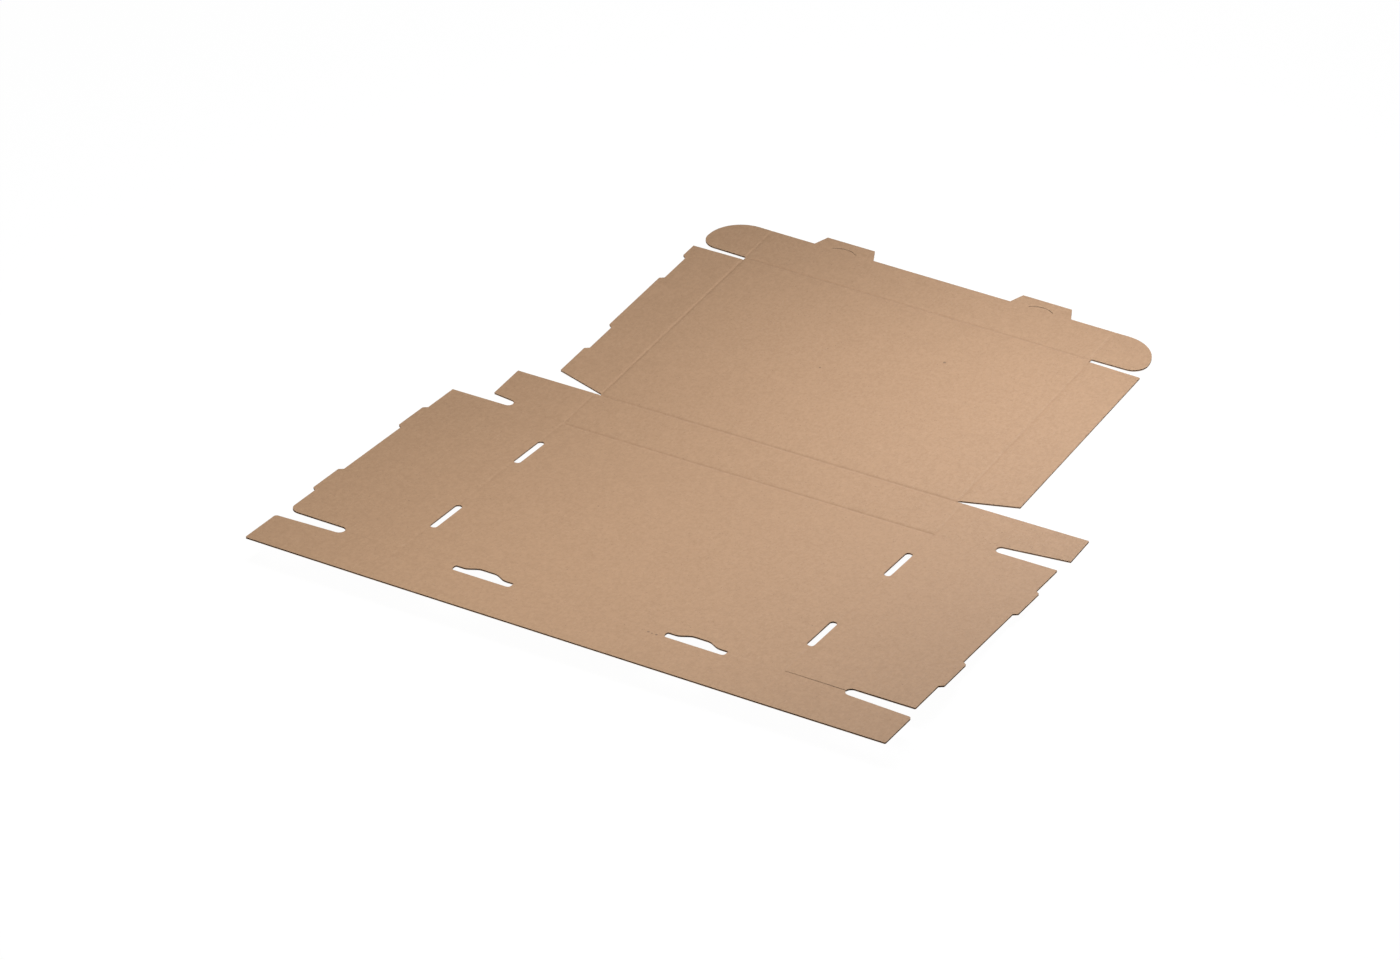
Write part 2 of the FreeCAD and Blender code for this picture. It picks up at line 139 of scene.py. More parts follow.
@dataclass
class Layout:
    """The flat outline of the carton, its slots and its creases, in mm."""

    base_half: float = 177.5
    lid_half: float = 172.0
    flap_edge: float = 222.0
    ledge_in: float = 233.5
    ledge_out: float = 238.5
    side_edge: float = 289.5
    tab_edge: float = 293.3
    ear_front: float = 293.3
    ear_slope: float = 3.3 / 62.4
    front_edge: float = -53.0
    back_crease: float = 261.0
    lid_crease: float = 315.0
    tuck_crease: float = 575.0
    tuck_edge: float = 625.5
    latch_top: float = 640.0
    gap: float = 5.4
    gap_in: float = 231.5
    back_edge: float = 262.5
    ear_low: float = 272.0
    slit: float = 0.5
    corner: float = 1.2
    ear_round: float = 2.8
    short_ear: float = 255.0
    tab_root: float = 22.0
    tab_tip: float = 19.0
    nest_depth: float = 4.0
    tuck_reach: float = 219.5
    tuck_low_round: float = 14.0
    tuck_high_round: float = 35.0
    latch_root: float = 30.0
    latch_tip: float = 24.0
    tab_places: tuple[float, float] = (67.0, 200.0)
    nest_places: tuple[float, float] = (394.0, 527.0)
    slot_centre: float = 175.3
    slot_width: float = 6.4
    slot_length: float = 44.5
    latch_centre: float = 98.5

    def half_outline(self, side: Side) -> np.ndarray:
        """Outline of one half, from the front edge's middle to the tuck flap's middle.

        The path is straight runs and arcs joined in order; the left half is worked out as if
        it were the right one, with its own ear, corner and recesses, and then mirrored.

        Args:
            side: which half of the sheet.

        Returns:
            Array of shape (n, 2).
        """
        left = side is Side.LEFT
        gap, start = self.gap, self.gap_in
        slit = 0.04 if left else self.slit
        mouth = 179.5 if left else 175.7
        ear_top = -gap - (self.ear_front - start - gap) * self.ear_slope
        wall_round = 8.5 if left else self.corner
        parts = [
            arc(self.ear_front - self.corner, self.front_edge + self.corner, self.corner, -90, 0, 4),
            arc(self.ear_front - self.ear_round, ear_top - self.ear_round, self.ear_round, 0, 90, 7),
            arc(start + gap, 0.0, gap, -90, -mouth, 9),
            points((self.base_half, -slit / 2), (self.base_half, slit / 2)),
            arc(start + gap, 0.0, gap, mouth, 90, 9),
            arc(self.side_edge - wall_round, gap + wall_round, wall_round, -90, 0, 8),
        ]
        for place in self.tab_places:
            parts.append(points(
                (self.side_edge, place - self.tab_root), (self.tab_edge, place - self.tab_tip),
                (self.tab_edge, place + self.tab_tip), (self.side_edge, place + self.tab_root)))
        parts.append(arc(self.side_edge - self.corner, self.back_edge - self.corner, self.corner,
                         0, 90, 4))
        round_radius = (self.ear_low - self.back_edge) / 2
        parts.append(points((self.base_half, self.back_edge),
                            (self.base_half, self.back_edge + 0.08)))
        parts.append(arc(start + round_radius, self.back_edge + round_radius, round_radius,
                         268.0, 90, 12))
        ear_tip = self.short_ear if left else self.tab_edge
        tip_low = self.ear_low + (ear_tip - start - round_radius) * 8.3 / 63.05
        ear_high = self.lid_crease - 0.5
        parts.append(points((ear_tip, tip_low), (ear_tip, ear_high), (self.lid_half, ear_high),
                            (self.lid_half, self.lid_crease + 1.5),
                            (self.flap_edge, self.lid_crease + 16.5)))
        if left:
            bottom = self.flap_edge - self.nest_depth
            for place in self.nest_places:
                parts.append(points(
                    (self.flap_edge, place - self.tab_root), (bottom, place - self.tab_tip),
                    (bottom, place + self.tab_tip), (self.flap_edge, place + self.tab_root)))
        parts.append(points((self.flap_edge, self.tuck_crease - 7.0),
                            (self.lid_half, self.tuck_crease - 4.5),
                            (self.lid_half, self.tuck_crease + 0.6)))
        low, high = self.tuck_low_round, self.tuck_high_round
        parts.append(arc(self.tuck_reach - low, self.tuck_crease + 0.6 + low, low, -90, 0, 9))
        parts.append(arc(self.tuck_reach - high, self.tuck_edge - high, high, 0, 90, 16))
        centre = self.latch_centre
        parts.append(points(
            (centre + self.latch_root, self.tuck_edge), (centre + self.latch_tip, self.latch_top),
            (centre - self.latch_tip, self.latch_top), (centre - self.latch_root, self.tuck_edge)))
        path = np.vstack(parts)
        return path * np.array([side.value, 1.0])

    def outline(self) -> np.ndarray:
        """The whole outer outline, anticlockwise.

        Returns:
            Array of shape (n, 2).
        """
        right = self.half_outline(Side.RIGHT)
        left = self.half_outline(Side.LEFT)[::-1]
        return np.vstack([right, left])

    def side_slot(self, side: Side, place: float) -> np.ndarray:
        """A round-ended slot in the base: two half circles joined by straight sides.

        Args:
            side: which half of the sheet.
            place: y of the slot's middle, mm.

        Returns:
            Array of shape (n, 2).
        """
        x = self.slot_centre * side.value
        radius = self.slot_width / 2
        reach = self.slot_length / 2 - radius
        return np.vstack([
            arc(x, place + reach, radius, 0, 180),
            arc(x, place - reach, radius, 180, 360),
        ])

    def latch_slot(self, side: Side) -> np.ndarray:
        """A slot on the front crease: straight front edge, back edge with a soft hump.

        Args:
            side: which half of the sheet.

        Returns:
            Array of shape (n, 2).
        """
        c, low, back, high = self.latch_centre, -5.8, 1.9, 7.5
        path = np.vstack([
            points((c - 24.5, low)),
            arc(c + 24.5, low + 3.0, 3.0, -90, 0, 6),
            arc(c + 26.0, back - 1.5, 1.5, 0, 90, 5),
            bend_curve((c + 20.0, back), (c + 6.0, high)),
            bend_curve((c - 6.0, high), (c - 20.0, back)),
            arc(c - 26.0, back - 1.5, 1.5, 90, 180, 5),
            arc(c - 24.5, low + 3.0, 3.0, 180, 270, 6)[:-1],
        ])
        return path * np.array([side.value, 1.0])

    def relief(self, side: Side) -> np.ndarray:
        """The curved slit at a latch's root: two arcs of one radius, a slit's width apart.

        Its radius follows from the arc's half chord and its height: (chord^2 + height^2) over
        twice the height.

        Args:
            side: which half of the sheet.

        Returns:
            Array of shape (n, 2).
        """
        chord, height, width = 12.0, 4.2, 0.75
        radius = (chord ** 2 + height ** 2) / (2 * height)
        spread = math.degrees(math.asin(chord / radius))
        x, y = self.latch_centre * side.value, self.tuck_edge + height - radius
        return np.vstack([
            arc(x, y, radius, 90 - spread, 90 + spread, 13),
            arc(x, y + width, radius, 90 + spread, 90 - spread, 13),
        ])

    def loops(self) -> list[np.ndarray]:
        """The outer outline first, then every hole.

        Returns:
            Closed loops, each an array of shape (n, 2).
        """
        found = [self.outline()]
        for side in Side:
            found.extend(self.side_slot(side, place) for place in self.tab_places)
            found.append(self.latch_slot(side))
            found.append(self.relief(side))
        return found

    def folds(self) -> list[Fold]:
        """Every crease line of the sheet.

        Returns:
            The four long creases first, then those along the sheet on both sides.
        """
        base, lid = self.base_half, self.lid_half
        found = [
            Fold(True, 0.0, -base, base, 0.10, 1.3),
            Fold(True, self.back_crease, -base, base, 0.72, 1.45),
            Fold(True, self.lid_crease, -lid, lid, 0.85, 1.45),
            Fold(True, self.tuck_crease, -lid, lid, 0.75, 1.4),
        ]
        for side in Side:
            s = side.value
            found += [
                Fold(False, base * s, self.front_edge, 0.0, 0.13, 1.2),
                Fold(False, base * s, 0.0, self.back_crease, 0.20, 1.3),
                Fold(False, self.ledge_in * s, 0.0, self.back_edge, 0.09, 1.6),
                Fold(False, self.ledge_out * s, 0.0, self.back_edge, 0.09, 1.6),
                Fold(False, base * s, self.back_crease, self.lid_crease, 0.26, 1.2),
                Fold(False, lid * s, self.lid_crease, self.tuck_crease, 0.40, 1.3),
                Fold(False, lid * s, self.tuck_crease, self.tuck_edge, 0.28, 1.2),
            ]
        return found


def inside(x: np.ndarray, y: np.ndarray, loops: list[np.ndarray]) -> np.ndarray:
    """Even-odd test: a ray from the point crosses the loops' edges an odd number of times.

    Args:
        x: x of the points, mm.
        y: y of the points, mm.
        loops: closed outlines.

    Returns:
        Boolean array, True where the point is on the board.
    """
    crossings = np.zeros(x.shape, int)
    for loop in loops:
        a, b = loop, np.roll(loop, -1, axis=0)
        for k in range(len(a)):
            spans = (a[k, 1] > y) != (b[k, 1] > y)
            if not spans.any():
                continue
            at = a[k, 0] + (y - a[k, 1]) * (b[k, 0] - a[k, 0]) / (b[k, 1] - a[k, 1] + 1e-30)
            crossings += spans & (x < at)
    return crossings % 2 == 1


@dataclass
class Board:
    """The corrugated board: its thickness, its wave and its rest on the table.

    Attributes:
        layout: the flat outline and creases.
        thick: whole thickness, mm.
        liner: thickness of one liner, mm.
        pitch: length of one wave, mm.
        rise: angle of the base above the table, degrees.
        twist: angle of the lid's middle above the table, degrees; its right edge lies flat.
        origin: place of the back crease on the table along y, mm.
        cell: spacing of the open surface's points, mm.
    """

    layout: Layout = field(default_factory=Layout)
    thick: float = 1.5
    liner: float = 0.24
    pitch: float = 3.3
    rise: float = 4.75
    twist: float = 0.75
    origin: float = -33.039
    cell: float = 9.0

    def press(self, x: np.ndarray, y: np.ndarray) -> np.ndarray:
        """How deep the creases press the inside face, mm.

        Each crease is a bell across its line, depth times exp(-(distance/half)^2), with a low
        shoulder of displaced board on both sides, higher on the near or left one, and fades out
        past its two ends.

        Args:
            x: x on the flat sheet, mm.
            y: y on the flat sheet, mm.

        Returns:
            Depth below the uncreased face, mm.
        """
        total = np.zeros(np.broadcast(x, y).shape)
        fade = 1.5
        for fold in self.layout.folds():
            off = (y if fold.across else x) - fold.at
            run = x if fold.across else y
            bell = np.exp(-(off / fold.half) ** 2)
            beside = (np.abs(off) - 2.3 * fold.half) / (0.8 * fold.half)
            shoulder = np.where(off < 0, 0.24, 0.08) * np.exp(-beside ** 2)
            ends = np.clip((run - fold.start) / fade + 0.5, 0, 1)
            ends = ends * np.clip((fold.stop - run) / fade + 0.5, 0, 1)
            total = np.maximum(total, fold.depth * bell * ends) - fold.depth * shoulder * ends
        return total

    def lift(self, x: np.ndarray, y: np.ndarray) -> np.ndarray:
        """How far the sheet stands off its own flat plane, mm.

        Slow sine waves of under a millimetre, and flaps that spring up a little towards their
        free edges: a square law of the distance past the crease.

        Args:
            x: x on the flat sheet, mm.
            y: y on the flat sheet, mm.

        Returns:
            Height, mm, never below zero.
        """
        lay = self.layout
        broad = np.sin(x / 83.0 + 0.6) * np.cos(y / 97.0 - 0.4)
        slow = 0.10 * (broad + np.sin(x / 47.0 - y / 131.0) * 0.5)
        past_lid = np.clip(np.abs(x) - lay.lid_half, 0, None) / 50.0
        past_ledge = np.clip(np.abs(x) - lay.ledge_out, 0, None) / 51.0
        flaps = np.where(y > lay.lid_crease, 0.9 * past_lid ** 2, 0.0)
        walls = np.where(y < lay.back_edge, 0.3 * past_ledge ** 2, 0.0)
        tuck = 0.8 * (np.clip(y - lay.tuck_crease, 0, None) / 50.0) ** 2
        return np.clip(slow + 0.15, 0, None) + flaps + walls + tuck

    def place(self, x: np.ndarray, y: np.ndarray, height: np.ndarray) -> np.ndarray:
        """Lays flat points on the table, in metres.

        In front of the back crease the point goes round a small bend and then straight up the
        slope of the base. Behind it the sheet is slightly twisted: it rises from the table by
        an angle that grows evenly from none at the right edge to twice the twist at the left.

        Args:
            x: x on the flat sheet, mm.
            y: y on the flat sheet, mm.
            height: distance above the sheet's underside, mm.

        Returns:
            Array of shape (n, 3), m.
        """
        ahead = np.clip(self.layout.back_crease - y, 0, None)
        behind = np.clip(y - self.layout.back_crease, 0, None)
        angle = math.radians(self.rise)
        bend = 0.4
        turn = angle * np.clip(ahead / bend, 0, 1)
        past = ahead - bend
        run = np.where(past < 0, ahead, bend * math.cos(angle / 2) + past * math.cos(angle))
        up = np.where(past < 0, 0.5 * ahead * turn, bend * math.sin(angle / 2) + past * math.sin(angle))
        leftward = np.clip(1.0 - x / self.layout.flap_edge, 0, None)
        lean = np.radians(self.twist) * leftward * np.clip(behind / 12.0, 0, 1)
        return MM * np.column_stack([
            x,
            behind * np.cos(lean) - run + height * (np.sin(turn) - np.sin(lean)) + self.origin,
            up + behind * np.sin(lean) + height * np.cos(turn),
        ])

    def seeds(self) -> tuple[np.ndarray, list[tuple[int, int]]]:
        """Points and fixed edges for the surface: outlines, crease profiles and open grid.

        Returns:
            Points (n, 2) and pairs of point numbers that must be joined.
        """
        found: list[np.ndarray] = []
        joins: list[tuple[int, int]] = []
        count = 0
        for loop in self.layout.loops():
            size = len(loop)
            ring = np.arange(size)
            joins += list(zip((ring + count).tolist(), (np.roll(ring, -1) + count).tolist()))
            found.append(loop)
            count += size
        offsets = np.array([-3.6, -2.6, -1.9, -1.3, -0.8, -0.35, 0.0, 0.35, 0.8, 1.3, 1.9, 2.6, 3.6])
        for fold in self.layout.folds():
            steps = max(int((fold.stop - fold.start) / self.cell), 3)
            run = np.linspace(fold.start, fold.stop, steps + 1)
            for offset in offsets:
                line = np.full(run.shape, fold.at + offset)
                found.append(np.column_stack([run, line] if fold.across else [line, run]))
                ring = np.arange(count, count + len(run))
                joins += list(zip(ring[:-1].tolist(), ring[1:].tolist()))
                count += len(run)
        lay = self.layout
        gx, gy = np.meshgrid(np.arange(-lay.tab_edge + 4, lay.tab_edge, self.cell),
                             np.arange(lay.front_edge + 4, lay.latch_top, self.cell))
        gx, gy = gx.ravel(), gy.ravel()
        clear = inside(gx, gy, self.layout.loops())
        for fold in self.layout.folds():
            off, run = (gy, gx) if fold.across else (gx, gy)
            clear &= ~((np.abs(off - fold.at) < 5.0) & (run > fold.start - 3) & (run < fold.stop + 3))
        found.append(np.column_stack([gx[clear], gy[clear]]))
        return np.vstack(found), joins

    def sheet(self) -> tuple[np.ndarray, np.ndarray, np.ndarray]:
        """Flat triangles of the whole outline.

        Returns:
            Points (n, 2), triangles (m, 3) anticlockwise, and edge pairs of the rim (k, 2)
            with the board on their left.
        """
        seeds, joins = self.seeds()
        flat = [Vector(pair) for pair in seeds.tolist()]
        verts, _, faces, *_ = delaunay_2d_cdt(flat, joins, [], 0, 1e-5, False)
        spots = np.array([tuple(v) for v in verts])
        tris = np.array([tuple(f) for f in faces if len(f) == 3], int)
        middle = spots[tris].mean(axis=1)
        a, b, c = (spots[tris[:, k]] for k in range(3))
        area = (b[:, 0] - a[:, 0]) * (c[:, 1] - a[:, 1]) - (b[:, 1] - a[:, 1]) * (c[:, 0] - a[:, 0])
        tris[area < 0] = tris[area < 0][:, ::-1]
        tris = tris[inside(middle[:, 0], middle[:, 1], self.layout.loops()) & (np.abs(area) > 1e-7)]
        used, inverse = np.unique(tris, return_inverse=True)
        spots, tris = spots[used], inverse.reshape(tris.shape)
        pairs = np.vstack([tris[:, [0, 1]], tris[:, [1, 2]], tris[:, [2, 0]]])
        code = pairs[:, 0] * len(spots) + pairs[:, 1]
        back = pairs[:, 1] * len(spots) + pairs[:, 0]
        rim = pairs[~np.isin(code, back)]
        return spots, tris, rim

    def top_height(self, x: np.ndarray, y: np.ndarray) -> np.ndarray:
        """Height of the inside face over the underside: thickness less the creases.

        Args:
            x: x on the flat sheet, mm.
            y: y on the flat sheet, mm.

        Returns:
            Height, mm.
        """
        return self.thick - self.press(x, y)

    def build_liner(self, face: Face,
                    flat: tuple[np.ndarray, np.ndarray, np.ndarray]) -> bpy.types.Object:
        """One liner as a closed thin sheet over the whole outline.

        Every flat point gives an upper and a lower point, a liner's thickness apart; the rim's
        edges are closed with a band of quads.

        Args:
            face: inside or outside liner.
            flat: points, triangles and rim of the flat sheet.

        Returns:
            The liner's object.
        """
        spots, tris, rim = flat
        x, y = spots[:, 0], spots[:, 1]
        lift = self.lift(x, y)
        if face is Face.INSIDE:
            upper = self.top_height(x, y)
            lower = upper - self.liner
        else:
            upper = np.full(x.shape, self.liner)
            lower = np.zeros(x.shape)
        count = len(spots)
        co = np.vstack([self.place(x, y, upper + lift), self.place(x, y, lower + lift)])
        under = tris[:, ::-1] + count
        band_a = np.column_stack([rim[:, 0], rim[:, 0] + count, rim[:, 1] + count])
        band_b = np.column_stack([rim[:, 0], rim[:, 1] + count, rim[:, 1]])
        faces = np.vstack([tris, under, band_a, band_b])
        slots = np.concatenate([np.zeros(2 * len(tris), int), np.ones(2 * len(rim), int)])
        name = "inside_liner" if face is Face.INSIDE else "outside_liner"
        piece = make_mesh(name, co, faces, slots)
        # Crease depth kept per point; the liner's material paints shade in the creases and highlight on
        # their shoulders from it.
        press = self.press(x, y) if face is Face.INSIDE else np.zeros(count)
        store(piece, "press", np.concatenate([press, np.zeros(count)]))
        return piece

    def build_flutes(self) -> bpy.types.Object:
        """The waved middle sheet, z = half the board plus a sine of x, between the liners.

        It is worked out in columns a tenth of a wave wide. A column's runs along y are the
        stretches between the outline's crossings of its middle line, cut at fixed stations so
        that the sheet follows the creases and the bend.

        Returns:
            The waved sheet's object.
        """
        lay = self.layout
        step = self.pitch / 10.0
        edges = np.arange(-lay.tab_edge, lay.tab_edge + step, step)
        offsets = np.array([-3.0, -1.3, -0.6, 0.0, 0.6, 1.3, 3.0])
        rows = [fold.at + offsets for fold in lay.folds() if fold.across]
        rows.append(np.array([lay.front_edge, 60.0, 130.0, 200.0, 380.0, 445.0, 510.0, lay.latch_top]))
        stations = np.unique(np.round(np.concatenate(rows), 3))
        left, right = edges[:-1], edges[1:]
        middle = (left + right) / 2
        cuts: list[list[float]] = [[] for _ in middle]
        for loop in lay.loops():
            a, b = loop, np.roll(loop, -1, axis=0)
            low = np.searchsorted(middle, np.minimum(a[:, 0], b[:, 0]))
            high = np.searchsorted(middle, np.maximum(a[:, 0], b[:, 0]))
            for k in np.nonzero(high > low)[0]:
                for column in range(low[k], high[k]):
                    part = (middle[column] - a[k, 0]) / (b[k, 0] - a[k, 0])
                    cuts[column].append(a[k, 1] + part * (b[k, 1] - a[k, 1]))
        corners: list[tuple[float, float, float, float]] = []
        for column, found in enumerate(cuts):
            ordered = sorted(found)
            for start, stop in zip(ordered[0::2], ordered[1::2]):
                inner = stations[(stations > start + 0.05) & (stations < stop - 0.05)]
                stops = np.concatenate([[start], inner, [stop]])
                corners += [(left[column], right[column], low_y, high_y)
                            for low_y, high_y in zip(stops[:-1], stops[1:])]
        box = np.array(corners)
        x = box[:, [0, 1, 1, 0]].ravel()
        y = box[:, [2, 2, 3, 3]].ravel()
        press = np.clip(self.press(x, y), 0, None)
        room = self.thick - 2 * self.liner - press
        middle_z = self.liner + room / 2
        wave = middle_z + (room / 2 - 0.06) * np.sin(2 * math.pi * x / self.pitch)
        co = self.place(x, y, wave + self.lift(x, y))
        quads = np.arange(len(x)).reshape(-1, 4)
        faces = np.vstack([quads[:, [0, 1, 2]], quads[:, [0, 2, 3]]])
        used, inverse = np.unique(np.round(co * 1e7).astype(np.int64), axis=0, return_inverse=True)
        return make_mesh("flutes", used / 1e7, inverse.ravel()[faces], np.zeros(len(faces), int))


def make_mesh(name: str, co: np.ndarray, faces: np.ndarray, slots: np.ndarray) -> bpy.types.Object:
    """Puts points and triangles into a new object.

    Args:
        name: name of the piece.
        co: points (n, 3), m.
        faces: triangles (m, 3).
        slots: material slot of every triangle.

    Returns:
        The new object, in the scene.
    """
    mesh = bpy.data.meshes.new(name)
    mesh.vertices.add(len(co))
    mesh.vertices.foreach_set("co", co.astype(np.float32).ravel())
    mesh.loops.add(faces.size)
    mesh.loops.foreach_set("vertex_index", faces.astype(np.int32).ravel())
    mesh.polygons.add(len(faces))
    mesh.polygons.foreach_set("loop_start", np.arange(0, faces.size, 3, dtype=np.int32))
    mesh.polygons.foreach_set("material_index", slots.astype(np.int32))
    mesh.polygons.foreach_set("use_smooth", np.ones(len(faces), bool))
    mesh.update(calc_edges=True)
    mesh.validate()
    mesh.set_sharp_from_angle(angle=math.radians(40))
    piece = bpy.data.objects.new(name, mesh)
    bpy.context.scene.collection.objects.link(piece)
    return piece


def store(piece: bpy.types.Object, name: str, values: np.ndarray) -> None:
    """Keeps one number per point as an attribute of the mesh.

    Args:
        piece: the object.
        name: the attribute's name.
        values: a number for each point.
    """
    attribute = piece.data.attributes.new(name, "FLOAT", "POINT")
    attribute.data.foreach_set("value", values.astype(np.float32))


class Nodes:
    """Short ways to add shader nodes to one material."""

    def __init__(self, name: str) -> None:
        """Starts a node material with an output and a principled shader.

        Args:
            name: material's name.
        """
        self.material = bpy.data.materials.new(name)
        self.material.use_nodes = True
        self.tree = self.material.node_tree
        self.shader = self.tree.nodes["Principled BSDF"]
        self.coords = self.add("ShaderNodeTexCoord").outputs["Object"]

    def add(self, kind: str, **values: object) -> bpy.types.Node:
        """Adds a node and sets its properties.

        Args:
            kind: Blender's name of the node type.
            **values: properties to set.

        Returns:
            The node.
        """
        node = self.tree.nodes.new(kind)
        for key, value in values.items():
            setattr(node, key, value)
        return node

    def feed(self, socket: bpy.types.NodeSocket, value: object) -> None:
        """Links a socket to another one, or sets its value.

        Args:
            socket: the input socket.
            value: an output socket, or the number or colour to set.
        """
        if isinstance(value, bpy.types.NodeSocket):
            self.tree.links.new(value, socket)
        else:
            socket.default_value = value

    def maths(self, operation: str, first: object, second: object = 0.0,
              third: object = 0.0) -> bpy.types.NodeSocket:
        """One step of arithmetic on sockets or numbers.

        Args:
            operation: Blender's name of the step.
            first: first socket or number.
            second: second one, where the step takes it.
            third: third one, where the step takes it.

        Returns:
            The result's socket.
        """
        node = self.add("ShaderNodeMath", operation=operation)
        for socket, value in zip(node.inputs, (first, second, third)):
            self.feed(socket, value)
        return node.outputs[0]

    def noise(self, scale: float, detail: float = 3.0, rough: float = 0.5,
              stretch: tuple[float, float, float] = (1.0, 1.0, 1.0), turn: float = 0.0,
              shift: float = 0.0) -> bpy.types.NodeSocket:
        """Noise over the object.

        Args:
            scale: cells per metre.
            detail: how many finer layers are added.
            rough: strength of the finer layers.
            stretch: factor on each axis.
            turn: angle about z, radians.
            shift: offset that gives a different pattern.

        Returns:
            The noise's socket, between 0 and 1.
        """
        mapping = self.add("ShaderNodeMapping")
        self.feed(mapping.inputs["Vector"], self.coords)
        mapping.inputs["Scale"].default_value = stretch
        mapping.inputs["Rotation"].default_value = (0.0, 0.0, turn)
        mapping.inputs["Location"].default_value = (shift, shift * 0.7, 0.0)
        node = self.add("ShaderNodeTexNoise")
        self.feed(node.inputs["Vector"], mapping.outputs[0])
        node.inputs["Scale"].default_value = scale
        node.inputs["Detail"].default_value = detail
        node.inputs["Roughness"].default_value = rough
        return node.outputs["Fac"]

    def ramp(self, value: bpy.types.NodeSocket, low: float, high: float,
             bottom: float = 0.0, top: float = 1.0) -> bpy.types.NodeSocket:
        """Maps a range of a socket's values to another, smoothly and clamped.

        Args:
            value: the socket to map.
            low: value that gives the bottom.
            high: value that gives the top.
            bottom: result at the low end.
            top: result at the high end.

        Returns:
            The mapped socket.
        """
        node = self.add("ShaderNodeMapRange", interpolation_type="SMOOTHSTEP")
        limits = {"From Min": low, "From Max": high, "To Min": bottom, "To Max": top}
        for name, number in limits.items():
            node.inputs[name].default_value = number
        self.feed(node.inputs["Value"], value)
        return node.outputs["Result"]

    def blend(self, factor: object, first: object, second: object) -> bpy.types.NodeSocket:
        """Mixes two colours.

        Args:
            factor: share of the second colour.
            first: first colour.
            second: second colour.

        Returns:
            The mixed colour's socket.
        """
        node = self.add("ShaderNodeMix", data_type="RGBA", blend_type="MIX")
        self.feed(node.inputs[0], factor)
        self.feed(node.inputs[6], first)
        self.feed(node.inputs[7], second)
        return node.outputs[2]

    def bump(self, height: bpy.types.NodeSocket, distance: float, strength: float = 1.0,
             below: bpy.types.NodeSocket | None = None) -> bpy.types.NodeSocket:
        """A bump of the surface, on top of another one.

        Args:
            height: pattern of the bump, between 0 and 1.
            distance: height of the pattern's full range, m.
            strength: share of the bump that is used.
            below: normal of the bump underneath.

        Returns:
            The normal's socket.
        """
        node = self.add("ShaderNodeBump")
        node.inputs["Distance"].default_value = distance
        node.inputs["Strength"].default_value = strength
        self.feed(node.inputs["Height"], height)
        if below is not None:
            self.feed(node.inputs["Normal"], below)
        return node.outputs[0]


